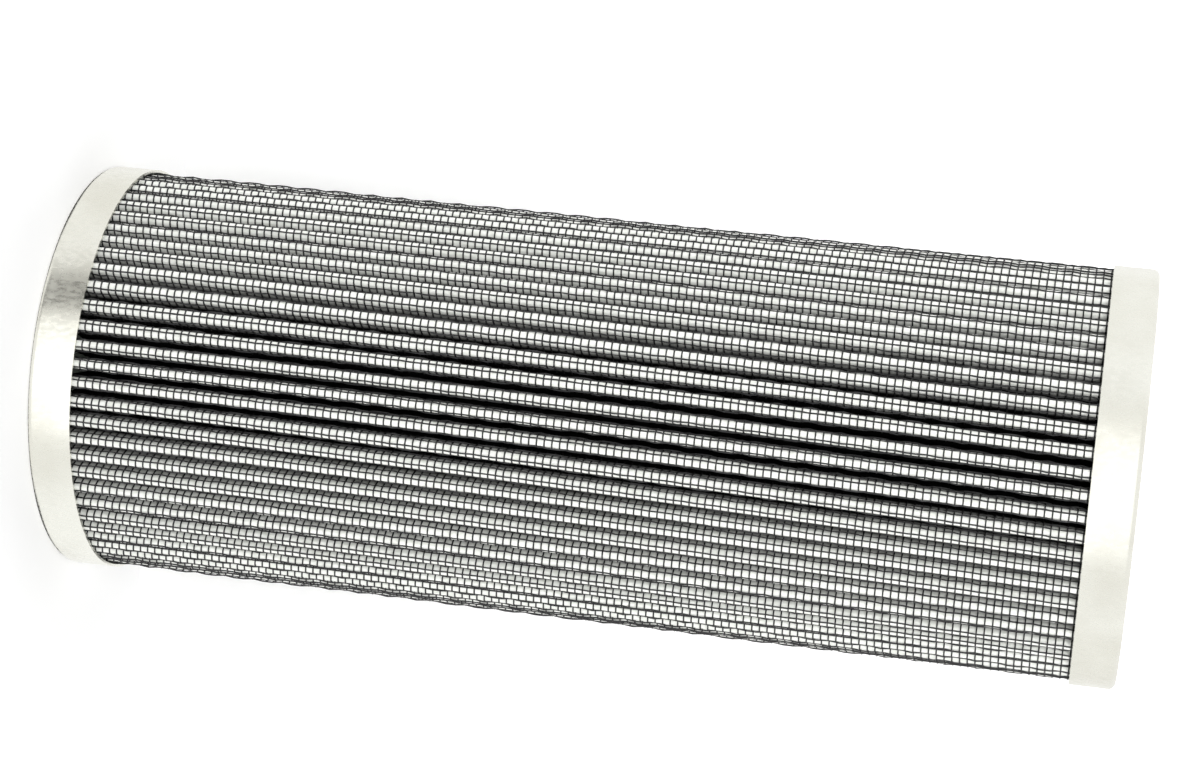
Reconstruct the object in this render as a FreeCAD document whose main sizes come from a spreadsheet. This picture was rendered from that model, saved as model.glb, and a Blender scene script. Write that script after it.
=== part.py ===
import FreeCAD, Part
import math
import os

import Sketcher
from FreeCAD import Placement, Rotation, Vector

# Pleated filter element for a hydraulic pressure housing, standing on its closed end.
# +Z runs along the element, from the closed end to the open end. Millimetres.

doc = FreeCAD.newDocument("filter_element")

# Driving dimensions
SIZES = {
    "overall_length": 201.5,
    # Stamped end caps, two cups of one sheet thickness
    "cap_diameter": 78.0,
    "cap_sheet": 0.5,
    "cap_rim_height": 8.4,
    "cap_corner_radius": 1.2,
    "bend_radius": 0.4,
    "recess_diameter": 56.0,
    "recess_depth": 2.0,
    "pilot_height": 3.5,
    "pilot_clearance": 0.6,
    # Perforated centre tube
    "core_diameter": 46.4,
    "core_sheet": 0.8,
    "core_hole_diameter": 6.5,
    "core_holes_per_ring": 12,
    "core_ring_count": 14,
    "core_end_margin": 17.0,
    # Pleated pack, layer by layer from the outside in
    "outer_mesh_thickness": 0.36,
    "upstream_scrim_thickness": 0.08,
    "prefilter_thickness": 0.14,
    "fine_media_thickness": 0.18,
    "downstream_scrim_thickness": 0.08,
    "inner_mesh_thickness": 0.16,
    "fold_radius": 0.1,
    "fold_flats": 3,
    "fold_spacing": 0.14,
    "pack_rim_clearance": 0.1,
    "pack_core_clearance": 0.3,
    "pack_end_gap": 0.5,
    "pack_epoxy_clearance": 0.02,
    # Long wires of the outer mesh, as ribs on its outer face
    "wire_pitch": 1.5875,
    "wire_width": 0.25,
    "wire_height": 0.13,
    "wires_per_flank": 2,
    # Side seam of the pack
    "clip_sheet": 0.3,
    "clip_depth": 6.0,
    "clip_clearance": 0.02,
    "seam_glue_depth": 9.0,
    "seam_glue_width": 0.14,
    # Epoxy in the caps
    "potting_height": 6.5,
    # Outlet collar and its seal
    "outlet_diameter": 38.0,
    "collar_flange_diameter": 54.4,
    "collar_flange_thickness": 1.6,
    "collar_depth": 12.0,
    "collar_cap_clearance": 0.05,
    "collar_core_clearance": 0.2,
    "collar_lead_in": 1.0,
    "seal_section": 2.62,
    "seal_proud": 0.2,
    "seal_seat_clearance": 0.02,
    "seal_side_clearance": 0.45,
    "seal_depth": 6.1,
}

sheet = doc.addObject("Spreadsheet::Sheet", "sizes")
for row, (alias, number) in enumerate(SIZES.items(), start=1):
    sheet.set(f"A{row}", alias)
    sheet.set(f"B{row}", str(number))
    sheet.setAlias(f"B{row}", alias)
doc.recompute()

# Lengths worked out from the driving dimensions, written once for sketches and code alike
CAP_R = "sizes.cap_diameter / 2"
RIM_R = "(sizes.cap_diameter / 2 - sizes.cap_sheet)"
RECESS_R = "sizes.recess_diameter / 2"
RECESS_BACK_R = "(sizes.recess_diameter / 2 + sizes.cap_sheet)"
SEAT_Z = "(sizes.recess_depth + sizes.cap_sheet)"
CORE_R = "sizes.core_diameter / 2"
CORE_BORE_R = "(sizes.core_diameter / 2 - sizes.core_sheet)"
PILOT_R = f"({CORE_BORE_R} - sizes.pilot_clearance)"
COLLAR_R = f"({CORE_BORE_R} - sizes.collar_core_clearance)"
HOLE_R = f"({COLLAR_R} + sizes.collar_cap_clearance)"
OUTLET_R = "sizes.outlet_diameter / 2"
FLANGE_R = "sizes.collar_flange_diameter / 2"
SEAL_FLOOR_R = f"({OUTLET_R} - sizes.seal_proud + sizes.seal_section + sizes.seal_seat_clearance)"
SEAL_HALF_WIDTH = "(sizes.seal_section / 2 + sizes.seal_side_clearance)"
FLANGE_TOP = "(sizes.overall_length - sizes.recess_depth + sizes.collar_flange_thickness)"
COLLAR_LENGTH = "(sizes.collar_depth + sizes.collar_flange_thickness)"
PACK_LOW = f"({SEAT_Z} + sizes.pack_end_gap)"
PACK_LENGTH = f"(sizes.overall_length - 2 * {PACK_LOW})"

LAYERS = [
    ("outer_support_mesh", "outer_mesh_thickness"),
    ("upstream_scrim", "upstream_scrim_thickness"),
    ("prefilter_layer", "prefilter_thickness"),
    ("fine_media_layer", "fine_media_thickness"),
    ("downstream_scrim", "downstream_scrim_thickness"),
    ("inner_support_mesh", "inner_mesh_thickness"),
]
THICKNESS = "(" + " + ".join(f"sizes.{alias}" for _, alias in LAYERS) + ")"
FOLD_OUTSIDE_R = f"({THICKNESS} + sizes.fold_radius)"
SHEET_END_R = f"({RIM_R} - sizes.pack_rim_clearance - sizes.clip_sheet - 2 * sizes.clip_clearance)"


def value(expression):
    """A plain number for an expression on the sheet."""
    result = sheet.evalExpression(expression)
    return float(getattr(result, "Value", result))


def size(alias):
    return value(f"sizes.{alias}")


def lifted(expression):
    """A placement straight up, to the height that an expression gives."""
    return Placement(Vector(0, 0, value(expression)), Rotation())


def polar(radius, angle):
    return Vector(radius * math.cos(angle), radius * math.sin(angle), 0)


def turned(vector, angle):
    c, s = math.cos(angle), math.sin(angle)
    return Vector(vector.x * c - vector.y * s, vector.x * s + vector.y * c, 0)


# Sketches and bodies
def origin_plane(body, role):
    return next(item for item in body.Origin.OriginFeatures if item.Role == role)


def add_profile(body, name, role, corners):
    """A closed sketch of straight lines. Each corner is a pair of expressions, or None on an axis."""
    sketch = body.newObject("Sketcher::SketchObject", name)
    sketch.AttachmentSupport = (origin_plane(body, role), [""])
    sketch.MapMode = "FlatFace"
    points = [Vector(*[0 if e is None else value(e) for e in pair], 0) for pair in corners]
    last = len(points) - 1
    for i, point in enumerate(points):
        sketch.addGeometry(Part.LineSegment(point, points[0 if i == last else i + 1]), False)
    for i in range(len(points)):
        sketch.addConstraint(Sketcher.Constraint("Coincident", i, 2, 0 if i == last else i + 1, 1))
    for i, (across, up) in enumerate(corners):
        for kind, axis, expression in (("DistanceX", -2, across), ("DistanceY", -1, up)):
            if expression is None:
                sketch.addConstraint(Sketcher.Constraint("PointOnObject", i, 1, axis))
                continue
            number = points[i].x if kind == "DistanceX" else points[i].y
            index = sketch.addConstraint(Sketcher.Constraint(kind, -1, 1, i, 1, number))
            label = f"{kind[-1].lower()}_{i}"
            sketch.renameConstraint(index, label)
            sketch.setExpression(f"Constraints.{label}", expression)
    return sketch


def revolved_body(name, corners):
    """A turned or spun piece: its half section, given as radius and height, goes round Z."""
    body = doc.addObject("PartDesign::Body", name)
    body.Label = name
    sketch = add_profile(body, f"{name}_section", "XZ_Plane", corners)
    turn = body.newObject("PartDesign::Revolution", f"{name}_turn")
    turn.Profile = sketch
    turn.ReferenceAxis = (sketch, ["V_Axis"])
    turn.Angle = 360
    doc.recompute()
    return body


def round_edges(body, kind, name, radius, places):
    """Rounds or bevels the circular edges at these places, each a radius and a height."""
    base = body.Tip
    wanted = [(value(r), value(z)) for r, z in places]
    names = []
    for index, edge in enumerate(base.Shape.Edges, start=1):
        curve = edge.Curve
        if not isinstance(curve, Part.Circle):
            continue
        if any(abs(curve.Radius - r) < 1e-4 and abs(curve.Center.z - z) < 1e-4 for r, z in wanted):
            names.append(f"Edge{index}")
    feature = body.newObject(kind, name)
    feature.Base = (base, names)
    feature.setExpression("Radius" if kind.endswith("Fillet") else "Size", radius)
    doc.recompute()
    return feature


def turned_over(expression):
    """A placement upside down, with what was drawn at zero brought to this height."""
    return Placement(Vector(0, 0, value(expression)), Rotation(Vector(1, 0, 0), 180))


# End caps
RIM_SECTION = [
    (RECESS_R, "sizes.recess_depth"),
    (RECESS_R, None),
    (CAP_R, None),
    (CAP_R, "sizes.cap_rim_height"),
    (RIM_R, "sizes.cap_rim_height"),
    (RIM_R, "sizes.cap_sheet"),
    (RECESS_BACK_R, "sizes.cap_sheet"),
    (RECESS_BACK_R, SEAT_Z),
]


def round_cap(body, extra_inner=(), extra_outer=()):
    """Rounds the bends of a stamped cap: a small radius inside each bend, one sheet more outside."""
    round_edges(
        body,
        "PartDesign::Fillet",
        f"{body.Name}_corner",
        "sizes.cap_corner_radius",
        [(CAP_R, "0")],
    )
    round_edges(
        body,
        "PartDesign::Fillet",
        f"{body.Name}_corner_inside",
        "sizes.cap_corner_radius - sizes.cap_sheet",
        [(RIM_R, "sizes.cap_sheet")],
    )
    round_edges(
        body,
        "PartDesign::Fillet",
        f"{body.Name}_bends_inside",
        "sizes.bend_radius",
        [(RECESS_R, "sizes.recess_depth"), (RECESS_BACK_R, "sizes.cap_sheet"), *extra_inner],
    )
    round_edges(
        body,
        "PartDesign::Fillet",
        f"{body.Name}_bends_outside",
        "sizes.bend_radius + sizes.cap_sheet",
        [(RECESS_R, "0"), (RECESS_BACK_R, SEAT_Z), *extra_outer],
    )


def make_closed_end_cap():
    dish_r = f"({PILOT_R} - sizes.cap_sheet)"
    dish_z = "(sizes.recess_depth + sizes.pilot_height)"
    dish_back_z = f"({dish_z} + sizes.cap_sheet)"
    body = revolved_body(
        "closed_end_cap",
        [
            (None, dish_z),
            (dish_r, dish_z),
            (dish_r, "sizes.recess_depth"),
            *RIM_SECTION,
            (PILOT_R, SEAT_Z),
            (PILOT_R, dish_back_z),
            (None, dish_back_z),
        ],
    )
    round_cap(
        body,
        extra_inner=[(dish_r, dish_z), (PILOT_R, SEAT_Z)],
        extra_outer=[(dish_r, "sizes.recess_depth"), (PILOT_R, dish_back_z)],
    )
    return body


def make_open_end_cap():
    body = revolved_body(
        "open_end_cap",
        [(HOLE_R, "sizes.recess_depth"), *RIM_SECTION, (HOLE_R, SEAT_Z)],
    )
    round_cap(body)
    body.Placement = turned_over("sizes.overall_length")
    return body


# Centre tube
def make_core_tube():
    tube = doc.addObject("PartDesign::Body", "core_blank")
    profile = tube.newObject("Sketcher::SketchObject", "core_rings")
    profile.AttachmentSupport = (origin_plane(tube, "XY_Plane"), [""])
    profile.MapMode = "FlatFace"
    for i, (label, expression) in enumerate((("outside", CORE_R), ("inside", CORE_BORE_R))):
        profile.addGeometry(Part.Circle(Vector(0, 0, 0), Vector(0, 0, 1), value(expression)), False)
        profile.addConstraint(Sketcher.Constraint("Coincident", i, 3, -1, 1))
        index = profile.addConstraint(Sketcher.Constraint("Radius", i, value(expression)))
        profile.renameConstraint(index, label)
        profile.setExpression(f"Constraints.{label}", expression)
    pad = tube.newObject("PartDesign::Pad", "core_length")
    pad.Profile = profile
    pad.setExpression("Length", f"sizes.overall_length - 2 * {SEAT_Z}")
    tube.Placement = lifted(SEAT_Z)

    # Punched holes, each ring turned half a step from the last
    holes = []
    rings = int(size("core_ring_count"))
    around = int(size("core_holes_per_ring"))
    margin = size("core_end_margin")
    step = (size("overall_length") - 2 * margin) / (rings - 1)
    punch_from = value(CORE_BORE_R) - size("core_sheet")
    punch_length = 3 * size("core_sheet")
    for ring in range(rings):
        for k in range(around):
            outwards = polar(1, 2 * math.pi * (k + (ring % 2) / 2) / around)
            start = outwards * punch_from + Vector(0, 0, margin + ring * step)
            holes.append(Part.makeCylinder(size("core_hole_diameter") / 2, punch_length, start, outwards))
    punches = doc.addObject("Part::Feature", "core_punches")
    punches.Shape = Part.makeCompound(holes)
    core = doc.addObject("Part::Cut", "core_tube")
    core.Label = "core_tube"
    core.Base = tube
    core.Tool = punches
    return core


# Pleated pack. Its outside is round over each crest, and its inside is round under each root.
BEND_R = value(FOLD_OUTSIDE_R)
CREST_R = value(RIM_R) - size("pack_rim_clearance") - BEND_R
ROOT_R = value(CORE_R) + size("pack_core_clearance") + BEND_R
PLEATS = int(2 * math.pi * ROOT_R / (2 * BEND_R + size("fold_spacing")))
SEAM_ANGLE = math.pi / 2


def pleat_lines(depth):
    """The folded line that lies this far in from the pack's outer face, from one end of the sheet
    to the other, as flanks (start, end), crest tops and root bottoms. The sheet starts and ends
    at the side seam, where two flanks stand side by side with no fold over them."""
    crest_bend = BEND_R - depth
    root_bend = size("fold_radius") + depth
    step = 2 * math.pi / PLEATS
    down, up = [], []
    for i in range(PLEATS):
        crest = polar(CREST_R, SEAM_ANGLE + i * step)
        root = polar(ROOT_R, SEAM_ANGLE + (i + 0.5) * step)
        crest_next = polar(CREST_R, SEAM_ANGLE + (i + 1) * step)
        span = root - crest
        lean = math.acos((crest_bend + root_bend) / span.Length)
        side = turned(span * (1 / span.Length), -lean)
        down.append((crest + side * crest_bend, root - side * root_bend))
        span = crest_next - root
        side = turned(span * (1 / span.Length), lean)
        up.append((root + side * root_bend, crest_next - side * crest_bend))
    seam = polar(1, SEAM_ANGLE)
    down[0] = (along_to(down[0][1], down[0][0], seam), down[0][1])
    up[-1] = (up[-1][0], along_to(up[-1][0], up[-1][1], seam))
    tops = [polar(CREST_R + crest_bend, SEAM_ANGLE + i * step) for i in range(PLEATS)]
    bottoms = [polar(ROOT_R - root_bend, SEAM_ANGLE + (i + 0.5) * step) for i in range(PLEATS)]
    return down, up, tops, bottoms


def along_to(start, through, seam):
    """The point where the line from start through another point meets the end of the sheet."""
    direction = through - start
    return start + direction * ((value(SHEET_END_R) - start.dot(seam)) / direction.dot(seam))


def fold(start, middle, end, flats):
    """A fold as a few flats, which lie on those of the next layer, or as one arc where flats is 0."""
    arc = Part.Arc(start, middle, end)
    if not flats:
        return [arc.toShape()]
    points = arc.discretize(flats + 1)
    return [Part.makeLine(a, b) for a, b in zip(points, points[1:])]


def smooth_path(depth, flats):
    """Edges of a folded line with nothing standing on it."""
    down, up, tops, bottoms = pleat_lines(depth)
    edges = []
    for i in range(PLEATS):
        if i:
            edges += fold(up[i - 1][1], tops[i], down[i][0], flats)
        edges.append(Part.makeLine(*down[i]))
        edges += fold(down[i][1], bottoms[i], up[i][0], flats)
        edges.append(Part.makeLine(*up[i]))
    return edges


def ribbed_flank(start, end, outwards, distances):
    """Edges of a flank with square ribs standing on it, at these distances from its start."""
    along = (end - start).normalize()
    half = size("wire_width") / 2
    rise = outwards * size("wire_height")
    points = [start]
    for distance in distances:
        near = start + along * (distance - half)
        far = start + along * (distance + half)
        points += [near, near + rise, far + rise, far]
    points.append(end)
    return [Part.makeLine(a, b) for a, b in zip(points, points[1:])]


def ribbed_path():
    """The outer mesh's outside: a folded line with the long wires standing on it as ribs."""
    depth = size("wire_height")
    bend = BEND_R - depth
    half = size("wire_width") / 2
    flats = int(size("fold_flats"))
    down, up, tops, bottoms = pleat_lines(depth)
    edges = []
    for i in range(PLEATS):
        radial = polar(1, SEAM_ANGLE + i * 2 * math.pi / PLEATS)
        centre = radial * CREST_R
        across = turned(radial, math.pi / 2)
        lift = math.sqrt(bend**2 - half**2)
        if i:
            before = centre + radial * lift - across * half
            after = centre + radial * lift + across * half
            top = centre + radial * BEND_R
            arrive, leave = up[i - 1][1], down[i][0]
            middle_in = centre + ((arrive + before) * 0.5 - centre).normalize() * bend
            middle_out = centre + ((after + leave) * 0.5 - centre).normalize() * bend
            edges += fold(arrive, middle_in, before, (flats + 1) // 2)
            edges += [
                Part.makeLine(before, top - across * half),
                Part.makeLine(top - across * half, top + across * half),
                Part.makeLine(top + across * half, after),
            ]
            edges += fold(after, middle_out, leave, (flats + 1) // 2)
        # The first wire on a flank stands one pitch from the crest's wire, clear of the bend
        first = max(size("wire_pitch") - bend * math.pi / 2, size("wire_width"))
        count = int(size("wires_per_flank"))
        places = [first + k * size("wire_pitch") for k in range(count)]
        beside = turned((down[i][1] - down[i][0]).normalize(), -math.pi / 2)
        edges += ribbed_flank(*down[i], beside, places)
        edges += fold(down[i][1], bottoms[i], up[i][0], flats)
        run = (up[i][1] - up[i][0]).Length
        beside = turned((up[i][1] - up[i][0]).normalize(), -math.pi / 2)
        edges += ribbed_flank(*up[i], beside, [run - place for place in reversed(places)])
    return edges


def pleated_sheet(outer, inner):
    """A sheet as long as the pack between two folded lines, each a list of edges in order."""
    start = Part.makeLine(inner[0].firstVertex(True).Point, outer[0].firstVertex(True).Point)
    end = Part.makeLine(outer[-1].lastVertex(True).Point, inner[-1].lastVertex(True).Point)
    wire = Part.Wire([start, *outer, end, *reversed(inner)])
    return Part.Face(wire).extrude(Vector(0, 0, value(PACK_LENGTH)))


def make_pleated_layers():
    made = []
    depth = 0
    flats = int(size("fold_flats"))
    for name, alias in LAYERS:
        outside = smooth_path(depth, flats) if depth else ribbed_path()
        depth += size(alias)
        layer = doc.addObject("Part::Feature", name)
        layer.Label = name
        layer.Shape = pleated_sheet(outside, smooth_path(depth, flats))
        layer.Placement = lifted(PACK_LOW)
        made.append(layer)
    return made


# Side seam, at the back of the pack
def seam_placement():
    turn = Rotation(Vector(0, 0, 1), math.degrees(SEAM_ANGLE))
    return Placement(Vector(0, 0, value(PACK_LOW)), turn)


def make_seam_clip():
    """A folded channel pushed over the two ends of the sheet."""
    inner_half = f"({FOLD_OUTSIDE_R} + sizes.clip_clearance)"
    outer_half = f"({inner_half} + sizes.clip_sheet)"
    top = f"({SHEET_END_R} + sizes.clip_clearance)"
    low = f"({top} - sizes.clip_depth)"
    high = f"({top} + sizes.clip_sheet)"
    body = doc.addObject("PartDesign::Body", "side_seam_clip")
    body.Label = "side_seam_clip"
    corners = [
        (low, f"-{outer_half}"),
        (high, f"-{outer_half}"),
        (high, outer_half),
        (low, outer_half),
        (low, inner_half),
        (top, inner_half),
        (top, f"-{inner_half}"),
        (low, f"-{inner_half}"),
    ]
    sketch = add_profile(body, "clip_section", "XY_Plane", corners)
    pad = body.newObject("PartDesign::Pad", "clip_length")
    pad.Profile = sketch
    pad.setExpression("Length", PACK_LENGTH)
    body.Placement = seam_placement()
    return body


def make_seam_glue():
    """A strip of glue between the two ends of the sheet."""
    glue = doc.addObject("Part::Box", "side_seam_glue")
    glue.Label = "side_seam_glue"
    glue.setExpression("Height", PACK_LENGTH)
    glue.setExpression("Length", "sizes.seam_glue_depth")
    glue.setExpression("Width", "sizes.seam_glue_width")
    corner = Vector(value(SHEET_END_R) - size("seam_glue_depth"), -size("seam_glue_width") / 2, 0)
    glue.Placement = seam_placement().multiply(Placement(corner, Rotation()))
    return glue


# Epoxy that seals the pack and the centre tube into a cap
def make_potting(name, pack_space):
    ring = revolved_body(
        f"{name}_ring",
        [
            (RIM_R, "sizes.cap_sheet"),
            (RIM_R, "sizes.potting_height"),
            (CORE_R, "sizes.potting_height"),
            (CORE_R, SEAT_Z),
            (RECESS_BACK_R, SEAT_Z),
            (RECESS_BACK_R, "sizes.cap_sheet"),
        ],
    )
    round_edges(
        ring,
        "PartDesign::Fillet",
        f"{name}_corner",
        "sizes.cap_corner_radius - sizes.cap_sheet",
        [(RIM_R, "sizes.cap_sheet")],
    )
    round_edges(
        ring,
        "PartDesign::Fillet",
        f"{name}_inner_bend",
        "sizes.bend_radius",
        [(RECESS_BACK_R, "sizes.cap_sheet")],
    )
    round_edges(
        ring,
        "PartDesign::Fillet",
        f"{name}_outer_bend",
        "sizes.bend_radius + sizes.cap_sheet",
        [(RECESS_BACK_R, SEAT_Z)],
    )
    if name.startswith("open"):
        ring.Placement = turned_over("sizes.overall_length")
    potting = doc.addObject("Part::Cut", name)
    potting.Label = name
    potting.Base = ring
    potting.Tool = pack_space
    return potting


# Outlet collar and seal, drawn upside down with the flange's outer face at zero
def make_outlet_collar():
    depth = "sizes.seal_depth"
    body = revolved_body(
        "outlet_collar",
        [
            (OUTLET_R, None),
            (FLANGE_R, None),
            (FLANGE_R, "sizes.collar_flange_thickness"),
            (COLLAR_R, "sizes.collar_flange_thickness"),
            (COLLAR_R, COLLAR_LENGTH),
            (OUTLET_R, COLLAR_LENGTH),
            (OUTLET_R, f"{depth} + {SEAL_HALF_WIDTH}"),
            (SEAL_FLOOR_R, f"{depth} + {SEAL_HALF_WIDTH}"),
            (SEAL_FLOOR_R, f"{depth} - {SEAL_HALF_WIDTH}"),
            (OUTLET_R, f"{depth} - {SEAL_HALF_WIDTH}"),
        ],
    )
    chamfer = "PartDesign::Chamfer"
    round_edges(body, chamfer, "collar_lead", "sizes.collar_lead_in", [(OUTLET_R, "0")])
    round_edges(
        body,
        chamfer,
        "collar_edges",
        "sizes.collar_flange_thickness / 4",
        [(FLANGE_R, "0"), (COLLAR_R, COLLAR_LENGTH), (OUTLET_R, COLLAR_LENGTH)],
    )
    body.Placement = turned_over(FLANGE_TOP)
    return body


def make_outlet_seal():
    seal = doc.addObject("Part::Torus", "outlet_o_ring")
    seal.Label = "outlet_o_ring"
    seal.setExpression("Radius1", f"{OUTLET_R} - sizes.seal_proud + sizes.seal_section / 2")
    seal.setExpression("Radius2", "sizes.seal_section / 2")
    seal.Placement = lifted(f"{FLANGE_TOP} - sizes.seal_depth")
    return seal


nodes = [make_closed_end_cap(), make_open_end_cap(), make_core_tube()]
nodes += make_pleated_layers()
clip = make_seam_clip()
glue = make_seam_glue()
nodes += [clip, glue]
doc.recompute()

# The room that the pack, its clip and its glue take up in the epoxy, clear of the mesh's wires
clear_line = smooth_path(-size("pack_epoxy_clearance"), 0)
inner_line = smooth_path(value(THICKNESS), int(size("fold_flats")))
whole_pack = pleated_sheet(clear_line, inner_line)
whole_pack.Placement = lifted(PACK_LOW)
space = doc.addObject("Part::Feature", "pack_space")
space.Shape = Part.makeCompound([whole_pack, clip.Shape, glue.Shape])
nodes += [make_potting("closed_end_potting", space), make_potting("open_end_potting", space)]
nodes += [make_outlet_collar(), make_outlet_seal()]
doc.recompute()

for item in doc.Objects:
    if "Invalid" in item.State or "Error" in item.State:
        raise SystemExit(f"{item.Name} failed: {item.State}")
os.makedirs("parts", exist_ok=True)
for node in nodes:
    shape = node.Shape
    if shape.isNull() or not shape.isValid():
        raise SystemExit(f"{node.Label} has no valid shape")
    print(f"{node.Label}: {len(shape.Solids)} solid, {shape.Volume:.0f} mm3")
for node in nodes:
    node.Shape.exportStep(f"parts/{node.Label}.step")
print(f"{PLEATS} pleats, pack {value(THICKNESS):.2f} mm thick")
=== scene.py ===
import math

import bpy
import numpy as np
from mathutils import Matrix, Vector


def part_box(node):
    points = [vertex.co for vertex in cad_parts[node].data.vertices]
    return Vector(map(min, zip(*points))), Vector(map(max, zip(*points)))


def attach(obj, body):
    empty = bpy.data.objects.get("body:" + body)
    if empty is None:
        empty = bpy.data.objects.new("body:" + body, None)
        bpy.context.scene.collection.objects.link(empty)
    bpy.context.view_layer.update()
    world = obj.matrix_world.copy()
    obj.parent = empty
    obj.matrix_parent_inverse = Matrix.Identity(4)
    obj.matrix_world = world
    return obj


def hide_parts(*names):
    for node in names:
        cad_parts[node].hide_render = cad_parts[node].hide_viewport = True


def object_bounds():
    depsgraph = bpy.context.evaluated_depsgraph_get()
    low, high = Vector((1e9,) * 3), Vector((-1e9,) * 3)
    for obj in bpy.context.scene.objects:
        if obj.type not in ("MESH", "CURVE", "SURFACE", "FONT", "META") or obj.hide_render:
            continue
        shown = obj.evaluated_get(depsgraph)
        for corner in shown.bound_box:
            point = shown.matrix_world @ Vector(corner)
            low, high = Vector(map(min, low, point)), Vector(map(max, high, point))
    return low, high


# A pleated filter element that stands on its closed end, in metres.
# +Z runs along it, from the closed end to the open end. Its side seam is at the back, at +Y.

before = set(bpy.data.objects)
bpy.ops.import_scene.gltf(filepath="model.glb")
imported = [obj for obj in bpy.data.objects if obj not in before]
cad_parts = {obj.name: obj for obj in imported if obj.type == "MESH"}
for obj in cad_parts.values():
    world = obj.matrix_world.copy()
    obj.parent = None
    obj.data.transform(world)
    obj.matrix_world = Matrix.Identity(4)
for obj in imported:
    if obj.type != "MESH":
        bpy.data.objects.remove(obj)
cad_low, cad_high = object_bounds()

# Caps
LENGTH = cad_high.z
CAP_RADIUS = cad_high.x
RIM_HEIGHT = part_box("closed_end_cap")[1].z
CAP_SHEET = 0.0005
CAP_CORNER = 0.0012
CAP_BEND = 0.0006
RECESS_RADIUS = 0.028
RECESS_DEPTH = 0.002
DISH_RADIUS = 0.0211
DISH_HEIGHT = 0.0035
COLLAR_HOLE_RADIUS = 0.02225

# Collar and seal in the open cap
OUTLET_RADIUS = 0.019
COLLAR_RADIUS = 0.0222
COLLAR_SEAT = LENGTH - RECESS_DEPTH
COLLAR_DEPTH = 0.012
COLLAR_EDGE = 0.0004
FLANGE_RADIUS = 0.0272
FLANGE_HEIGHT = 0.0016
LEAD_IN = 0.001
GROOVE_RADIUS = 0.02144
GROOVE_WIDTH = 0.00352
SEAL_DROP = 0.0061
SEAL_HEIGHT = COLLAR_SEAT + FLANGE_HEIGHT - SEAL_DROP
SEAL_SECTION = 0.00262
SEAL_PROUD = 0.0002

# Turning: flats round a turned piece, round a bent corner and round the seal's section
TURN_FLATS = 180
CORNER_FLATS = 6
SEAL_FLATS = 24

# Pleated pack. A crest bends round a centre at CREST from the axis, where the pack's outside has
# CREST_BEND for a radius. A root bends round a centre at ROOT.
PLEATS = 66
STEP = 2 * math.pi / PLEATS
SEAM_ANGLE = math.pi / 2
SEAM_CUT = 0.2
PACK_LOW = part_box("outer_support_mesh")[0].z
PACK_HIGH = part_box("outer_support_mesh")[1].z
PACK_RADIUS = 0.0384
CREST_BEND = 0.0013
CREST = PACK_RADIUS - CREST_BEND
ROOT_BEND = 0.0001
ROOT = 0.0246
CREST_FLATS = 8
ROOT_FLATS = 4

# How far the pleats lean round the pack, how the lean grows from end to end, and how it changes
# round the pack
LEAN = 0.0034
LEAN_GROWTH = 1.7
LEAN_CHANGE = 0.3
LEAN_START = 0.3

# How the pleats crowd: waves round the pack, size, start, and drift from end to end
CROWDING = [
    (3, 0.0004, 0.4, 0.6),
    (7, 0.0003, 1.9, -0.9),
    (11, 0.00018, 4.0, 1.2),
]

# Layers under the outer mesh: how deep each one's outside lies in the pack, its thickness and slot
LAYERS = {
    "upstream_scrim": (0.00036, 0.00008, "pale_scrim"),
    "prefilter_layer": (0.00044, 0.00014, "glass_fibre_media"),
    "fine_media_layer": (0.00058, 0.00018, "glass_fibre_media"),
    "downstream_scrim": (0.00076, 0.00008, "pale_scrim"),
    "inner_support_mesh": (0.00084, 0.00016, "coated_mesh"),
}
SHEET_ROWS = 5

# Outer mesh. WIRE_REACH is how far down the flanks its wires are made, and WEAVE how far the long
# wires bend in and out.
WIRE_RADIUS = 0.00016
WIRE_SIDES = 3
WIRE_REACH = 0.0035
WEAVE = 0.00012
CROSS_WIRE_PITCH = 0.0254 / 18
CROSS_WIRE_DEPTH = 0.00026
CROSS_WIRE_FLATS = 6
CROSS_WIRES = int((PACK_HIGH - PACK_LOW) / CROSS_WIRE_PITCH)
FIRST_CROSS_WIRE = PACK_LOW + CROSS_WIRE_PITCH / 2
BANDS = ["lower", "middle", "upper"]
LONG_WIRE_PITCH = 0.0254 / 16
LONG_WIRE_DEPTH = 0.00024
SEAM_GAP = 0.006
HALVES = {
    "front": range(-PLEATS // 4, PLEATS // 4),
    "back": range(PLEATS // 4, PLEATS * 3 // 4),
}

# Where the long wires of each pleat start, in parts of their pitch: a shift from pleat to pleat,
# and a wander on top of it
WIRE_SHIFT = 0.21
WIRE_WANDER = 0.2
WANDER_STEP = 3.7

# Points that are one, points that meet from pleat to pleat, and rows in which a plain piece bends
SAME_POINT = 1e-6
SAME_FOLD = 1e-5
ROW_HEIGHT = 0.014

# Edges flatter than these angles are shaded smooth, and flats that meet under the last are joined
SMOOTH = math.radians(40)
WIRE_SMOOTH = math.radians(80)
FLAT = math.radians(10)

# Painted shade on the scrim: how it darkens, from just above the crests' centres down into a valley
# where shade falls
SHADE_START = CREST + 0.0002
SHADE_END = CREST - 0.003
PAINTED_VALLEY_SHADE = 0.004

# Floor and wall: their sizes, and their glow for the camera, near the element and far from it. The
# weaker glow near the element paints a soft shade round it
FLOOR_SIZE = 6
WALL_SIZE = 0.9
WALL_GAP = 0.0005
FLOOR_GLOW = 0.24
WALL_GLOW = 0.14
FAR_GLOW = 0.8
GLOW_REACH = 8 * CAP_RADIUS

# The world's light on surfaces, and what it shows in reflections
FILL = 0.45
REFLECTED = 1.05

# Camera: place, turn, tilt down and roll in degrees, and lens
CAMERA_PLACE = (0, -0.5494, 0.1919)
CAMERA_TURN = 0.61
CAMERA_TILT = 9.55
CAMERA_ROLL = 96.26
LENS = 87.6


# Working in the file
def pick(piece):
    """Selects one object alone."""
    bpy.ops.object.select_all(action="DESELECT")
    piece.select_set(True)
    bpy.context.view_layer.objects.active = piece


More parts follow.
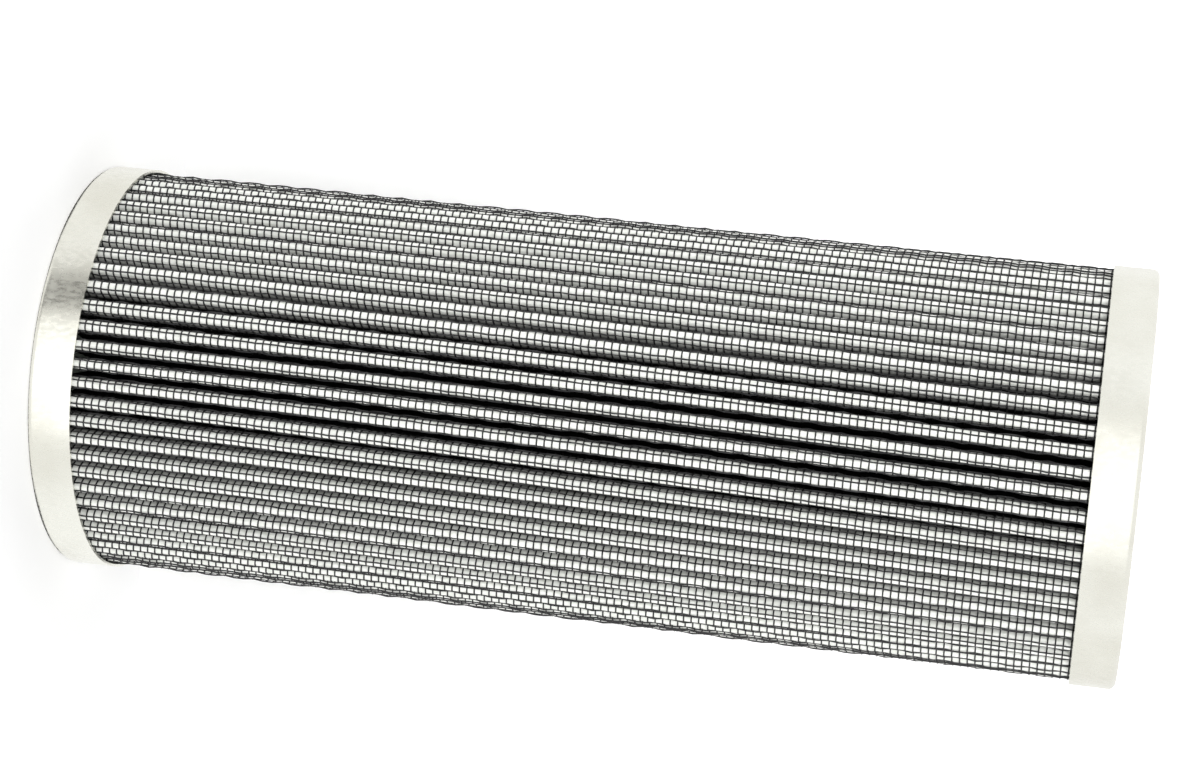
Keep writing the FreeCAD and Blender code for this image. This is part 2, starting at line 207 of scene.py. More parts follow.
def open_mesh(piece):
    """Opens a piece in edit mode with all of it selected."""
    pick(piece)
    bpy.ops.object.mode_set(mode="EDIT")
    bpy.ops.mesh.select_all(action="SELECT")


def close_mesh():
    bpy.ops.object.mode_set(mode="OBJECT")


def select_points(piece, wanted):
    """In a piece that is open in edit mode, selects only the points whose place is wanted."""
    bpy.ops.mesh.select_all(action="DESELECT")
    close_mesh()
    for point in piece.data.vertices:
        point.select = wanted(point.co)
    bpy.ops.object.mode_set(mode="EDIT")


def point_faces_outwards():
    bpy.ops.mesh.select_all(action="SELECT")
    bpy.ops.mesh.normals_make_consistent(inside=False)


def finished_with(piece, kind, **settings):
    """Adds a modifier with these settings and applies it."""
    pick(piece)
    modifier = piece.modifiers.new(kind.title(), kind)
    for setting, number in settings.items():
        setattr(modifier, setting, number)
    bpy.ops.object.modifier_apply(modifier=modifier.name)


def thicken(piece, thickness):
    """Gives a sheet its thickness, inwards from the face that it has."""
    finished_with(piece, "SOLIDIFY", thickness=thickness, offset=-1, use_even_offset=True)


def converted(piece, target):
    pick(piece)
    bpy.ops.object.convert(target=target)
    return bpy.context.object


def add_object(name, mesh):
    piece = bpy.data.objects.new(name, mesh)
    bpy.context.scene.collection.objects.link(piece)
    return piece


def polar(radius, angle):
    return Vector((radius * math.cos(angle), radius * math.sin(angle), 0))


def start_line(name, place):
    """A mesh of one point, ready in edit mode to be drawn out into a line."""
    bpy.ops.object.select_all(action="DESELECT")
    bpy.ops.mesh.primitive_plane_add(size=0.001, location=place)
    line = bpy.context.object
    line.name = name
    bpy.ops.object.transform_apply(location=True, rotation=True, scale=True)
    open_mesh(line)
    bpy.ops.mesh.merge(type="CENTER")
    return line


def draw(step):
    bpy.ops.mesh.extrude_region_move(TRANSFORM_OT_translate={"value": step})


def spin(flats, angle, center):
    bpy.ops.mesh.spin(steps=flats, angle=angle, center=center, axis=(0, 0, 1))


def smooth(piece, angle=SMOOTH):
    pick(piece)
    bpy.ops.object.shade_smooth_by_angle(angle=angle)


def settle(piece):
    """Leans and crowds the pleats a little, as they lie in the real pack. All layers move alike."""
    mesh = piece.data
    places = np.empty(3 * len(mesh.vertices))
    mesh.vertices.foreach_get("co", places)
    x, y, z = places.reshape(-1, 3).T
    angle = np.arctan2(x, -y)
    rise = np.clip((z - PACK_LOW) / (PACK_HIGH - PACK_LOW), 0, 1)
    lean = LEAN * rise**LEAN_GROWTH * (1 + LEAN_CHANGE * np.sin(angle + LEAN_START))
    crowd = sum(
        size * np.sin(waves * angle + start + drift * rise)
        for waves, size, start, drift in CROWDING
    )
    turn = (lean + crowd) / PACK_RADIUS
    c, s = np.cos(turn), np.sin(turn)
    places = np.stack([x * c - y * s, x * s + y * c, z], axis=1)
    mesh.vertices.foreach_set("co", places.ravel())
    mesh.update()


def in_place(piece, name, slot, node):
    """Names a finished piece, gives it its finish, hangs it on the root body and hides the node it
    stands for.
    """
    piece.name = name
    piece.data.name = name
    piece.data.materials.clear()
    piece.data.materials.append(finishes[slot])
    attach(piece, "root")
    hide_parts(node)


# Materials
def new_material(name, color, roughness, metallic=0.0):
    material = bpy.data.materials.new(name)
    material.use_nodes = True
    shader = material.node_tree.nodes["Principled BSDF"]
    shader.inputs["Base Color"].default_value = (*color, 1)
    shader.inputs["Roughness"].default_value = roughness
    shader.inputs["Metallic"].default_value = metallic
    return material, material.node_tree, shader


def add_node(tree, kind, **inputs):
    node = tree.nodes.new(kind)
    for name, number in inputs.items():
        node.inputs[name.replace("_", " ")].default_value = number
    return node


def add_operation(tree, kind, operation):
    node = tree.nodes.new(kind)
    node.operation = operation
    return node


def noise_on(tree, scale, detail, stretch=(1, 1, 1)):
    """Noise in object coordinates, stretched by these scales."""
    coordinates = tree.nodes.new("ShaderNodeTexCoord")
    mapping = add_node(tree, "ShaderNodeMapping", Scale=stretch)
    noise = add_node(tree, "ShaderNodeTexNoise", Scale=scale, Detail=detail)
    tree.links.new(coordinates.outputs["Object"], mapping.inputs["Vector"])
    tree.links.new(mapping.outputs["Vector"], noise.inputs["Vector"])
    return noise.outputs["Fac"]


def distance_on(tree, axes=(1, 1, 1)):
    """The distance from the origin in object coordinates, along these axes alone."""
    coordinates = tree.nodes.new("ShaderNodeTexCoord")
    counted = add_operation(tree, "ShaderNodeVectorMath", "MULTIPLY")
    counted.inputs[1].default_value = axes
    reach = add_operation(tree, "ShaderNodeVectorMath", "LENGTH")
    tree.links.new(coordinates.outputs["Object"], counted.inputs[0])
    tree.links.new(counted.outputs["Vector"], reach.inputs[0])
    return reach.outputs["Value"]


def spread_of(tree, factor, low, high, start=0.3, end=0.7):
    """A factor spread from low to high, between its own start and end."""
    spread = add_node(
        tree, "ShaderNodeMapRange", From_Min=start, From_Max=end, To_Min=low, To_Max=high
    )
    tree.links.new(factor, spread.inputs["Value"])
    return spread.outputs["Result"]


def ramp_of(tree, factor, *stops):
    """A colour ramp over a factor, with stops of position and colour."""
    ramp = tree.nodes.new("ShaderNodeValToRGB")
    for element, (position, color) in zip(ramp.color_ramp.elements, stops):
        element.position = position
        element.color = (*color, 1)
    tree.links.new(factor, ramp.inputs["Fac"])
    return ramp.outputs["Color"]


def shaded_by(tree, color, factor):
    """A colour made darker where the factor is low."""
    shade = add_node(tree, "ShaderNodeMix", Factor=1.0)
    shade.data_type = "RGBA"
    shade.blend_type = "MULTIPLY"
    # A Mix node has its colour sockets after those of its other types
    tree.links.new(color, shade.inputs[6])
    tree.links.new(factor, shade.inputs[7])
    return shade.outputs[2]


def bump_by(tree, shader, height, strength, distance):
    bump = add_node(tree, "ShaderNodeBump", Strength=strength, Distance=distance)
    tree.links.new(height, bump.inputs["Height"])
    tree.links.new(bump.outputs["Normal"], shader.inputs["Normal"])


def make_tinned_sheet():
    """Satin tinned sheet: soft cloudy patches, and a fine grain from the rolling."""
    material, tree, shader = new_material(
        "tinned_sheet", (0.8, 0.8, 0.73), roughness=0.3, metallic=1.0
    )
    patches = noise_on(tree, scale=45, detail=4)
    color = ramp_of(tree, patches, (0.35, (0.74, 0.73, 0.65)), (0.65, (0.87, 0.87, 0.8)))
    tree.links.new(color, shader.inputs["Base Color"])
    grain = noise_on(tree, scale=1400, detail=5, stretch=(1, 1, 0.5))
    tree.links.new(spread_of(tree, grain, low=0.18, high=0.4), shader.inputs["Roughness"])
    bump_by(tree, shader, grain, strength=0.25, distance=0.00004)
    return material


def make_coated_wire():
    material, tree, shader = new_material("coated_wire", (0.015, 0.015, 0.016), roughness=0.5)
    wear = noise_on(tree, scale=500, detail=3)
    color = ramp_of(tree, wear, (0.4, (0.01, 0.01, 0.011)), (0.75, (0.03, 0.03, 0.03)))
    tree.links.new(color, shader.inputs["Base Color"])
    return material


def make_spun_scrim():
    """Pale matt fibre, with painted shade that darkens it towards the foot of each valley."""
    material, tree, shader = new_material("spun_scrim", (0.9, 0.91, 0.87), roughness=0.85)
    fibres = noise_on(tree, scale=1500, detail=5, stretch=(1, 1, 0.4))
    color = ramp_of(tree, fibres, (0.3, (0.8, 0.82, 0.76)), (0.6, (0.93, 0.94, 0.9)))
    # Painted shade: the colour darkens with the distance from the axis, nearly black at the foot of
    # each valley
    depth = spread_of(tree, distance_on(tree, (1, 1, 0)), PAINTED_VALLEY_SHADE, 1.0, SHADE_END, SHADE_START)
    tree.links.new(shaded_by(tree, color, depth), shader.inputs["Base Color"])
    bump_by(tree, shader, fibres, strength=0.4, distance=0.00004)
    return material


def make_glass_fibre():
    material, tree, shader = new_material("glass_fibre", (0.93, 0.93, 0.9), roughness=0.9)
    fibres = noise_on(tree, scale=1200, detail=5)
    color = ramp_of(tree, fibres, (0.3, (0.84, 0.84, 0.8)), (0.7, (0.95, 0.95, 0.93)))
    tree.links.new(color, shader.inputs["Base Color"])
    bump_by(tree, shader, fibres, strength=0.5, distance=0.00005)
    return material


def make_zinc_steel():
    """Dull zinc plating with a faint crystal pattern."""
    material, tree, shader = new_material(
        "zinc_steel", (0.6, 0.61, 0.6), roughness=0.4, metallic=1.0
    )
    patches = noise_on(tree, scale=160, detail=5)
    color = ramp_of(tree, patches, (0.3, (0.5, 0.51, 0.51)), (0.7, (0.68, 0.69, 0.67)))
    tree.links.new(color, shader.inputs["Base Color"])
    tree.links.new(spread_of(tree, patches, low=0.34, high=0.5), shader.inputs["Roughness"])
    return material


def make_cast_epoxy():
    material, tree, shader = new_material("cast_epoxy", (0.2, 0.23, 0.2), roughness=0.3)
    clouds = noise_on(tree, scale=90, detail=4)
    color = ramp_of(tree, clouds, (0.3, (0.17, 0.2, 0.17)), (0.7, (0.24, 0.27, 0.23)))
    tree.links.new(color, shader.inputs["Base Color"])
    return material


def make_turned_aluminium():
    """Aluminium with fine lines round it from the turning tool."""
    material, tree, shader = new_material(
        "turned_aluminium", (0.6, 0.61, 0.62), roughness=0.3, metallic=1.0
    )
    lines = noise_on(tree, scale=60, detail=4, stretch=(1, 1, 60))
    tree.links.new(spread_of(tree, lines, low=0.22, high=0.38), shader.inputs["Roughness"])
    bump_by(tree, shader, lines, strength=0.15, distance=0.00003)
    return material


def make_seal_rubber():
    material, tree, shader = new_material("seal_rubber", (0.02, 0.02, 0.02), roughness=0.5)
    bloom = noise_on(tree, scale=300, detail=3)
    color = ramp_of(tree, bloom, (0.4, (0.015, 0.015, 0.015)), (0.75, (0.05, 0.05, 0.05)))
    tree.links.new(color, shader.inputs["Base Color"])
    return material


# The finish of each slot
finishes = {
    "end_cap_steel": make_tinned_sheet(),
    "coated_mesh": make_coated_wire(),
    "pale_scrim": make_spun_scrim(),
    "glass_fibre_media": make_glass_fibre(),
    "core_steel": make_zinc_steel(),
    "potting_epoxy": make_cast_epoxy(),
    "collar_aluminium": make_turned_aluminium(),
    "seal_rubber": make_seal_rubber(),
}


# Pleated sheets
def flank(depth):
    """Where half a pleat runs straight, this deep in the pack, with its crest to the right of the
    front root: the crest's centre, the flank's top, the root's centre and the flank's foot."""
    crest = polar(CREST, STEP / 2 - math.pi / 2)
    root = polar(ROOT, -math.pi / 2)
    span = root - crest
    slope = math.acos((CREST_BEND + ROOT_BEND) / span.length)
    side = Matrix.Rotation(slope, 3, "Z") @ span.normalized()
    return crest, crest + side * (CREST_BEND - depth), root, root - side * (ROOT_BEND + depth)


def draw_pleat(name, depth, crest_flats, reach):
    """One pleat as a line, from crest to crest. Where a reach is given, it goes only that far down
    the flanks."""
    crest, flank_top, root, flank_foot = flank(depth)
    top = crest + crest.normalized() * (CREST_BEND - depth)
    bottom = root - root.normalized() * (ROOT_BEND + depth)
    crest_fold = (top - crest).angle(flank_top - crest)
    root_fold = (bottom - root).angle(flank_foot - root)
    line = start_line(name, top)
    spin(crest_flats // 2, crest_fold, crest)
    if reach:
        draw((flank_foot - flank_top).normalized() * reach)
    else:
        draw(flank_foot - flank_top)
        spin(ROOT_FLATS // 2, -root_fold, root)
    close_mesh()
    finished_with(line, "MIRROR", use_axis=(True, False, False), merge_threshold=SAME_FOLD)
    return line


def repeat_round(line):
    """Copies one pleat all round the pack and joins the copies."""
    bpy.ops.object.empty_add()
    next_pleat = bpy.context.object
    next_pleat.rotation_euler.z = STEP
    bpy.context.view_layer.update()
    finished_with(
        line,
        "ARRAY",
        count=PLEATS,
        use_relative_offset=False,
        use_object_offset=True,
        offset_object=next_pleat,
        use_merge_vertices=True,
        merge_threshold=SAME_FOLD,
    )
    bpy.data.objects.remove(next_pleat)


def at_seam(place):
    """Whether a point is on the crest where the side seam is, above most of its bend."""
    flat = Vector((place.x, place.y, 0))
    near_seam = flat.angle(polar(1, SEAM_ANGLE)) < STEP / 2
    return near_seam and flat.length > CREST + SEAM_CUT * CREST_BEND


def folded_line(name, depth, crest_flats, reach=None):
    """The pleats as a line round the pack, this deep in it. Its two ends meet at the side seam,
    where a crest is cut away."""
    line = draw_pleat(name, depth, crest_flats, reach)
    repeat_round(line)
    line.data.transform(Matrix.Rotation(SEAM_ANGLE + math.pi / 2 + STEP / 2, 4, "Z"))
    open_mesh(line)
    select_points(line, at_seam)
    bpy.ops.mesh.delete(type="VERT")
    close_mesh()
    return line


def make_layer(name, depth, thickness, slot):
    sheet = folded_line(name, depth, CREST_FLATS)
    open_mesh(sheet)
    bpy.ops.transform.translate(value=(0, 0, PACK_LOW))
    for _ in range(SHEET_ROWS):
        draw((0, 0, (PACK_HIGH - PACK_LOW) / SHEET_ROWS))
    point_faces_outwards()
    close_mesh()
    thicken(sheet, thickness)
    settle(sheet)
    smooth(sheet)
    in_place(sheet, f"{name}_folds", slot, name)


# Outer mesh
def wire_section():
    """A small ring, for the section of a wire."""
    bpy.ops.object.select_all(action="DESELECT")
    bpy.ops.mesh.primitive_circle_add(vertices=WIRE_SIDES, radius=WIRE_RADIUS)
    return converted(bpy.context.object, "CURVE")


def start_cross_wire():
    """The lowest of the wires that go round the pack over every crest."""
    ring = wire_section()
    line = folded_line("cross_wire", CROSS_WIRE_DEPTH, CROSS_WIRE_FLATS, WIRE_REACH)
    open_mesh(line)
    bpy.ops.transform.translate(value=(0, 0, FIRST_CROSS_WIRE))
    close_mesh()
    wire = converted(line, "CURVE")
    wire.data.bevel_mode = "OBJECT"
    wire.data.bevel_object = ring
    wire.data.use_fill_caps = True
    wire = converted(wire, "MESH")
    open_mesh(wire)
    point_faces_outwards()
    close_mesh()
    bpy.data.objects.remove(ring)
    return wire


def make_cross_wires():
    """The wires that go round the pack, in bands along it."""
    wire = start_cross_wire()
    first = 0
    for place, band in enumerate(BANDS, start=1):
        last = round(CROSS_WIRES * place / len(BANDS))
        wires = add_object(f"cross_wires_{band}", wire.data.copy())
        wires.data.transform(Matrix.Translation((0, 0, first * CROSS_WIRE_PITCH)))
        finished_with(
            wires,
            "ARRAY",
            count=last - first,
            use_relative_offset=False,
            use_constant_offset=True,
            constant_offset_displace=(0, 0, CROSS_WIRE_PITCH),
        )
        settle(wires)
        smooth(wires, WIRE_SMOOTH)
        in_place(wires, f"cross_wires_{band}", "coated_mesh", "outer_support_mesh")
        first = last
    bpy.data.objects.remove(wire)


def place_on_pleat(pleat, run, depth):
    """The point this far along the sheet from the top of a crest, to its left or right, and the
    way out of the sheet there."""
    crest, flank_top, _, flank_foot = flank(depth)
    bend = CREST_BEND - depth
    top = crest.normalized()
    fold = bend * top.angle(flank_top - crest)
    if abs(run) < fold:
        out = Matrix.Rotation(-abs(run) / bend, 3, "Z") @ top
        spot = crest + out * bend
    else:
        out = (flank_top - crest).normalized()
        spot = flank_top + (flank_foot - flank_top).normalized() * (abs(run) - fold)
    # The half pleat is drawn beside the front root, and is turned so that its crest is in front
    turn = Matrix.Rotation(-STEP / 2, 3, "Z")
    if run > 0:
        turn = Matrix.Diagonal((-1, 1, 1)) @ turn
    turn = Matrix.Rotation(pleat * STEP, 3, "Z") @ turn
    return turn @ spot, turn @ out


def start_long_wire():
    """A straight wire with a row of points at each cross wire."""
    length = (CROSS_WIRES - 1) * CROSS_WIRE_PITCH
    middle = FIRST_CROSS_WIRE + length / 2
    bpy.ops.object.select_all(action="DESELECT")
    bpy.ops.mesh.primitive_cylinder_add(
        vertices=WIRE_SIDES, radius=WIRE_RADIUS, depth=length, location=(0, 0, middle)
    )
    wire = bpy.context.object
    bpy.ops.object.transform_apply(location=True, rotation=True, scale=True)
    open_mesh(wire)
    bpy.ops.mesh.select_all(action="DESELECT")
    close_mesh()
    for edge in wire.data.edges:
        a, b = (wire.data.vertices[v].co for v in edge.vertices)
        edge.select = abs(a.z - b.z) > length / 2
    bpy.context.tool_settings.mesh_select_mode = (False, True, False)
    bpy.ops.object.mode_set(mode="EDIT")
    bpy.ops.mesh.subdivide(number_cuts=CROSS_WIRES - 2)
    close_mesh()
    bpy.context.tool_settings.mesh_select_mode = (True, False, False)
    return wire


def weave_on(pleat, points):
    """The points of each long wire on a pleat, which goes over and under the cross wires by turns.
    There is none where the seam clip is."""
    row = np.round((points[:, 2] - FIRST_CROSS_WIRE) / CROSS_WIRE_PITCH)
    shift = (WIRE_SHIFT * pleat) % 1 - 0.5
    start = LONG_WIRE_PITCH * (shift + WIRE_WANDER * math.sin(WANDER_STEP * pleat))
    steps = int(WIRE_REACH / LONG_WIRE_PITCH)
    woven = []
    for step in range(-steps, steps + 1):
        run = start + step * LONG_WIRE_PITCH
        if pleat == PLEATS // 2 and abs(run) < SEAM_GAP:
            continue
        spot, out = place_on_pleat(pleat, run, LONG_WIRE_DEPTH)
        wave = WEAVE * np.cos(math.pi * (row + pleat + step))
        woven.append(points + np.array(spot) + wave[:, None] * np.array(out))
    return woven


def make_long_wires():
    """The wires that run along the pleats, as far down the flanks as shows."""
    wire = start_long_wire()
    points = np.array([point.co for point in wire.data.vertices])
    faces = [tuple(face.vertices) for face in wire.data.polygons]
    for half, pleats in HALVES.items():
        woven = [places for pleat in pleats for places in weave_on(pleat, points)]
        firsts = range(0, len(points) * len(woven), len(points))
        all_faces = [tuple(first + point for point in face) for first in firsts for face in faces]
        mesh = bpy.data.meshes.new(f"long_wires_{half}")
        mesh.from_pydata(np.concatenate(woven).tolist(), [], all_faces)
        wires = add_object(mesh.name, mesh)
        settle(wires)
        smooth(wires, WIRE_SMOOTH)
        in_place(wires, mesh.name, "coated_mesh", "outer_support_mesh")
    bpy.data.objects.remove(wire)


# End caps, collar and seal
def round_corner(line, corner, radius):
    """Rounds a corner of a drawn line."""
    select_points(line, lambda place: (place - corner).length < SAME_POINT)
    bpy.ops.mesh.bevel(offset=radius, segments=CORNER_FLATS, affect="VERTICES")


def spun_piece(name, outline, roundings, thickness=None):
    """A stamped or turned piece: its outer face is drawn as a half section, rounded and spun. Sheet
    metal is then made as thick as it is."""
    line = start_line(name, outline[0])
    for here, there in zip(outline, outline[1:]):
        draw(there - here)
    for corner, radius in roundings:
        round_corner(line, corner, radius)
    bpy.ops.mesh.select_all(action="SELECT")
    spin(TURN_FLATS, 2 * math.pi, (0, 0, 0))
    bpy.ops.mesh.select_all(action="SELECT")
    bpy.ops.mesh.remove_doubles(threshold=SAME_POINT)
    point_faces_outwards()
    close_mesh()
    if thickness:
        thicken(line, thickness)
    smooth(line)
    return line


def section(radius, height):
    return Vector((radius, 0, height))


def make_closed_end_cap():
    dish_top = RECESS_DEPTH + DISH_HEIGHT
    outline = [
        section(0, dish_top),
        section(DISH_RADIUS, dish_top),
        section(DISH_RADIUS, RECESS_DEPTH),
        section(RECESS_RADIUS, RECESS_DEPTH),
        section(RECESS_RADIUS, 0),
        section(CAP_RADIUS, 0),
        section(CAP_RADIUS, RIM_HEIGHT),
    ]
    roundings = [(corner, CAP_BEND) for corner in outline[1:5]]
    roundings.append((outline[5], CAP_CORNER))
    cap = spun_piece("closed_end_cap", outline, roundings, CAP_SHEET)
    in_place(cap, "closed_cap_shell", "end_cap_steel", "closed_end_cap")


def make_open_end_cap():
    outline = [
        section(COLLAR_HOLE_RADIUS, LENGTH - RECESS_DEPTH),
        section(RECESS_RADIUS, LENGTH - RECESS_DEPTH),
        section(RECESS_RADIUS, LENGTH),
        section(CAP_RADIUS, LENGTH),
        section(CAP_RADIUS, LENGTH - RIM_HEIGHT),
    ]
    roundings = [(corner, CAP_BEND) for corner in outline[1:3]]
    roundings.append((outline[3], CAP_CORNER))
    cap = spun_piece("open_end_cap", outline, roundings, CAP_SHEET)
    in_place(cap, "open_cap_shell", "end_cap_steel", "open_end_cap")


def make_collar():
    """A turned collar with a lead-in at its mouth and a groove for the seal."""
    face = COLLAR_SEAT + FLANGE_HEIGHT
    foot = COLLAR_SEAT - COLLAR_DEPTH
    groove_low = SEAL_HEIGHT - GROOVE_WIDTH / 2
    groove_high = SEAL_HEIGHT + GROOVE_WIDTH / 2
    outline = [
        section(OUTLET_RADIUS + LEAD_IN, face),
        section(FLANGE_RADIUS - COLLAR_EDGE, face),
        section(FLANGE_RADIUS, face - COLLAR_EDGE),
        section(FLANGE_RADIUS, COLLAR_SEAT),
        section(COLLAR_RADIUS, COLLAR_SEAT),
        section(COLLAR_RADIUS, foot + COLLAR_EDGE),
        section(COLLAR_RADIUS - COLLAR_EDGE, foot),
        section(OUTLET_RADIUS + COLLAR_EDGE, foot),
        section(OUTLET_RADIUS, foot + COLLAR_EDGE),
        section(OUTLET_RADIUS, groove_low),
        section(GROOVE_RADIUS, groove_low),
        section(GROOVE_RADIUS, groove_high),
        section(OUTLET_RADIUS, groove_high),
        section(OUTLET_RADIUS, face - LEAD_IN),
    ]
    collar = spun_piece("outlet_collar", [*outline, outline[0]], [])
    in_place(collar, "collar", "collar_aluminium", "outlet_collar")


def make_o_ring():
    bpy.ops.object.select_all(action="DESELECT")
    bpy.ops.mesh.primitive_torus_add(
        major_segments=TURN_FLATS,
        minor_segments=SEAL_FLATS,
        major_radius=OUTLET_RADIUS - SEAL_PROUD + SEAL_SECTION / 2,
        minor_radius=SEAL_SECTION / 2,
        location=(0, 0, SEAL_HEIGHT),
    )
    seal = bpy.context.object
    bpy.ops.object.transform_apply(location=True, rotation=True, scale=True)
    smooth(seal)
    in_place(seal, "o_ring", "seal_rubber", "outlet_o_ring")


# Pieces that keep their form
def cut_into_rows(node):
    """Cuts rows across an open copy of a node, so that it can bend with the pleats."""
    low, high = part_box(node)
    for row in range(1, int((high.z - low.z) / ROW_HEIGHT)):
        bpy.ops.mesh.select_all(action="SELECT")
        bpy.ops.mesh.bisect(plane_co=(0, 0, low.z + row * ROW_HEIGHT), plane_no=(0, 0, 1))


def make_from_node(node, name, slot, settled=False, cast=False):
    """A clean, smoothly shaded copy of a node. A settled one leans with the pleats, and a cast one
    has its flat faces in one piece."""
    piece = add_object(name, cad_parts[node].data.copy())
    open_mesh(piece)
    bpy.ops.mesh.remove_doubles(threshold=SAME_POINT)
    if cast:
        bpy.ops.mesh.dissolve_limited(angle_limit=FLAT)
    if settled:
        cut_into_rows(node)
    close_mesh()
    if settled:
        settle(piece)
    smooth(piece)
    in_place(piece, name, slot, node)


make_cross_wires()
make_long_wires()
for layer, (depth, thickness, slot) in LAYERS.items():
    make_layer(layer, depth, thickness, slot)
make_closed_end_cap()
make_open_end_cap()
make_from_node("core_tube", "core_tube_shell", "core_steel")
make_collar()
make_o_ring()
make_from_node("side_seam_clip", "seam_clip", "core_steel", settled=True)
make_from_node("side_seam_glue", "seam_glue", "potting_epoxy", settled=True)
make_from_node("closed_end_potting", "closed_potting", "potting_epoxy", settled=True, cast=True)
make_from_node("open_end_potting", "open_potting", "potting_epoxy", settled=True, cast=True)


# Stage
def show_where(tree, factor, surface):
    """Shows a material's surface where the factor is one, and lets all through where it is zero."""
    clear = tree.nodes.new("ShaderNodeBsdfTransparent")
    shown = tree.nodes.new("ShaderNodeMixShader")
    tree.links.new(factor, shown.inputs["Fac"])
    tree.links.new(clear.outputs["BSDF"], shown.inputs[1])
    tree.links.new(surface, shown.inputs[2])
    tree.links.new(shown.outputs["Shader"], tree.nodes["Material Output"].inputs["Surface"])


def make_ground(name, color, near_glow):
    """A pale ground that glows for the camera, more with the distance from the element, so that it
    shows as white paper does in an overexposed picture, with only the soft shadows left. Its
    weaker glow near the element is a painted soft shade round it, on top of the real shadows.
    Reflections look through it."""
    material, tree, shader = new_material(name, color, roughness=0.9)
    shader.inputs["Specular IOR Level"].default_value = 0.1
    shader.inputs["Emission Color"].default_value = (1, 1, 1, 1)
    path = tree.nodes.new("ShaderNodeLightPath")
    # Painted shade: the glow is weakest near the element and grows out to FAR_GLOW
    glow = spread_of(tree, distance_on(tree), near_glow, FAR_GLOW, CAP_RADIUS, GLOW_REACH)
    lit = add_operation(tree, "ShaderNodeMath", "MULTIPLY")
    tree.links.new(path.outputs["Is Camera Ray"], lit.inputs[0])
    tree.links.new(glow, lit.inputs[1])
    tree.links.new(lit.outputs["Value"], shader.inputs["Emission Strength"])
    through = spread_of(tree, path.outputs["Is Glossy Ray"], 1.0, 0.0, 0.0, 1.0)
    tree.links.new(through, shader.inputs["Alpha"])
    return material


def make_wall_ground():
    """The wall's ground, which only the camera sees, and only from its front."""
    material = make_ground("pale_wall", (0.9, 0.9, 0.9), WALL_GLOW)
    tree = material.node_tree
    path = tree.nodes.new("ShaderNodeLightPath")
    side = tree.nodes.new("ShaderNodeNewGeometry")
    front = add_operation(tree, "ShaderNodeMath", "SUBTRACT")
    front.use_clamp = True
    tree.links.new(path.outputs["Is Camera Ray"], front.inputs[0])
    tree.links.new(side.outputs["Backfacing"], front.inputs[1])
    show_where(tree, front.outputs["Value"], tree.nodes["Principled BSDF"].outputs["BSDF"])
    return material


def make_stage():
    bpy.ops.object.select_all(action="DESELECT")
    bpy.ops.mesh.primitive_plane_add(size=FLOOR_SIZE)
    floor = bpy.context.object
    floor.name = "floor"
    floor.data.materials.append(make_ground("pale_floor", (0.8, 0.8, 0.8), FLOOR_GLOW))

    # The wall stands where the table was in the photograph, just behind the lying element
    bpy.ops.mesh.primitive_plane_add(size=WALL_SIZE)
    wall = bpy.context.object
    wall.name = "wall"
    open_mesh(wall)
    bpy.ops.transform.rotate(value=math.pi / 2, orient_axis="X", center_override=(0, 0, 0))
    bpy.ops.transform.translate(value=(0, CAP_RADIUS + WALL_GAP, 0))
    close_mesh()
    if wall.data.polygons[0].normal.y > 0:
        wall.data.flip_normals()
    wall.data.materials.append(make_wall_ground())


def make_world():
    """White for the camera, a trace more than white in reflections, and a soft fill on surfaces."""
    world = bpy.data.worlds.new("studio")
    bpy.context.scene.world = world
    world.use_nodes = True
    tree = world.node_tree
    background = tree.nodes["Background"]
    path = tree.nodes.new("ShaderNodeLightPath")
    for_camera = spread_of(tree, path.outputs["Is Camera Ray"], FILL, 1.0, 0.0, 1.0)
    for_gloss = spread_of(tree, path.outputs["Is Glossy Ray"], 0.0, REFLECTED - FILL, 0.0, 1.0)
    both = add_operation(tree, "ShaderNodeMath", "ADD")
    tree.links.new(for_camera, both.inputs[0])
    tree.links.new(for_gloss, both.inputs[1])
    tree.links.new(both.outputs["Value"], background.inputs["Strength"])
    background.inputs["Color"].default_value = (1, 1, 1, 1)


def add_card(name, width, length, place, strength):
    """A flat card that glows. Only reflections show it, and they look through the floor."""
    bpy.ops.object.select_all(action="DESELECT")
    bpy.ops.mesh.primitive_plane_add(size=1)
    card = bpy.context.object
    card.name = name
    open_mesh(card)
    bpy.ops.transform.resize(value=(width, length, 1))
    close_mesh()
    card.data.transform(place)
    material = bpy.data.materials.new(name)
    material.use_nodes = True
    tree = material.node_tree
    tree.nodes.remove(tree.nodes["Principled BSDF"])
    path = tree.nodes.new("ShaderNodeLightPath")
    glow = add_node(tree, "ShaderNodeEmission", Strength=strength)
    show_where(tree, path.outputs["Is Glossy Ray"], glow.outputs["Emission"])
    card.data.materials.append(material)


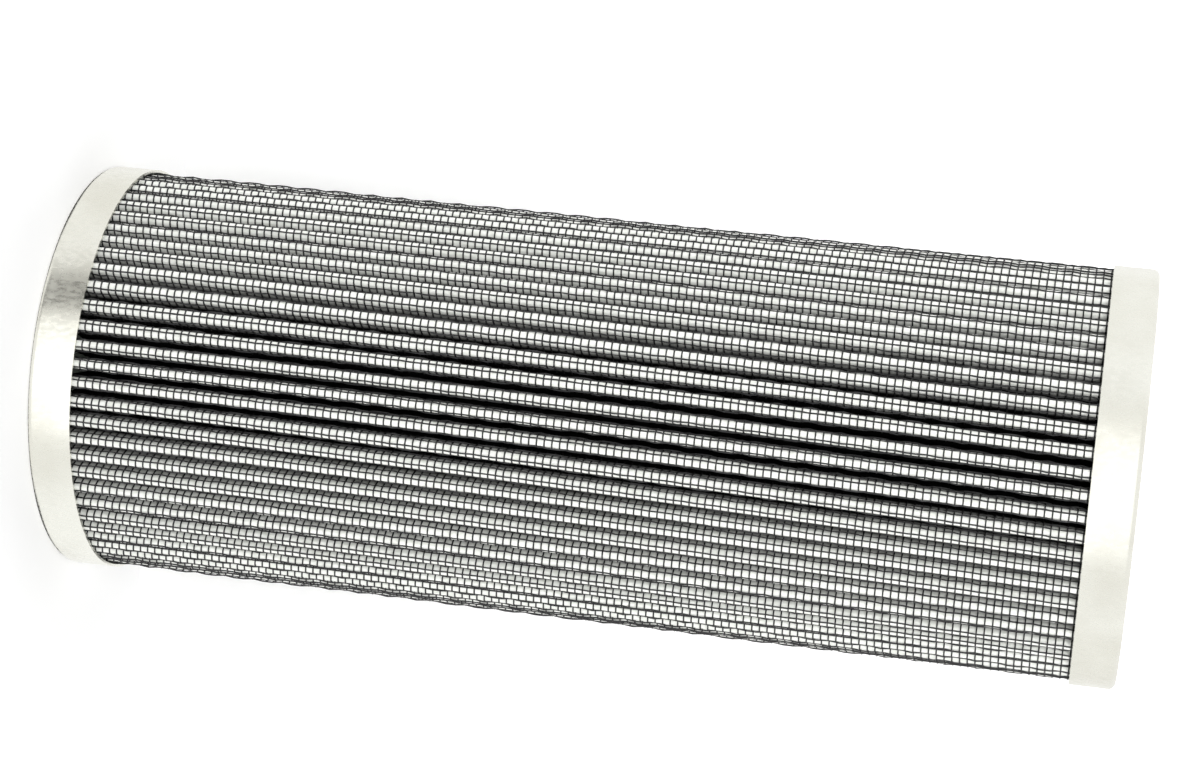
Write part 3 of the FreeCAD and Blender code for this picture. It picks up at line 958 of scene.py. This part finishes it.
def upright(turn, top):
    """The place of a card two metres tall, turned this many degrees round from the camera's side.
    It reaches far below the floor."""
    stand = Matrix.Translation((0, -1, top - 1)) @ Matrix.Rotation(math.pi / 2, 4, "X")
    return Matrix.Rotation(math.radians(turn), 4, "Z") @ stand


def add_softbox(name, place, width, height, power):
    """A rectangular soft light aimed at the element's middle, which reflections don't show."""
    bpy.ops.object.light_add(type="AREA", location=place)
    lamp = bpy.context.object
    lamp.name = name
    lamp.data.shape = "RECTANGLE"
    lamp.data.size = width
    lamp.data.size_y = height
    lamp.data.energy = power
    lamp.visible_glossy = False
    aim = Vector((0, 0, LENGTH / 2)) - Vector(place)
    lamp.rotation_euler = aim.to_track_quat("-Z", "Y").to_euler()


def make_lights():
    """The top and low softboxes are at the sides, where the photograph has its upper and lower
    edges. The cards shape what the caps reflect."""
    make_world()
    add_softbox("front_softbox", (0, -0.95, 0.45), width=0.4, height=0.4, power=5)
    add_softbox("top_softbox", (-0.9, -0.15, 0.4), width=0.9, height=0.9, power=4.4)
    add_softbox("low_softbox", (0.8, -0.4, 0.4), width=0.6, height=0.6, power=3.1)
    add_softbox("back_softbox", (0, 0.95, 0.4), width=0.8, height=0.6, power=6)
    add_card("white_card", width=1.3, length=2, place=upright(turn=8, top=1), strength=1.5)
    add_card("grey_card", width=0.38, length=2, place=upright(turn=-39, top=-0.08), strength=0.3)
    under_floor = Matrix.Translation((0, 0.055, -0.06))
    add_card("dark_card", width=0.2, length=0.12, place=under_floor, strength=0.02)


def make_camera():
    """The photograph looks down on the element as it lies, so the camera is rolled on its side."""
    aim = Matrix.Rotation(math.radians(CAMERA_TURN), 4, "Z")
    aim = aim @ Matrix.Rotation(math.radians(90 - CAMERA_TILT), 4, "X")
    aim = aim @ Matrix.Rotation(math.radians(CAMERA_ROLL), 4, "Z")
    bpy.ops.object.camera_add()
    camera = bpy.context.object
    camera.matrix_world = Matrix.Translation(CAMERA_PLACE) @ aim
    camera.data.sensor_width = 36
    camera.data.lens = LENS
    camera.data.clip_start = 0.01
    bpy.context.scene.camera = camera


make_stage()
make_lights()
make_camera()
bpy.context.scene.view_settings.view_transform = "Standard"
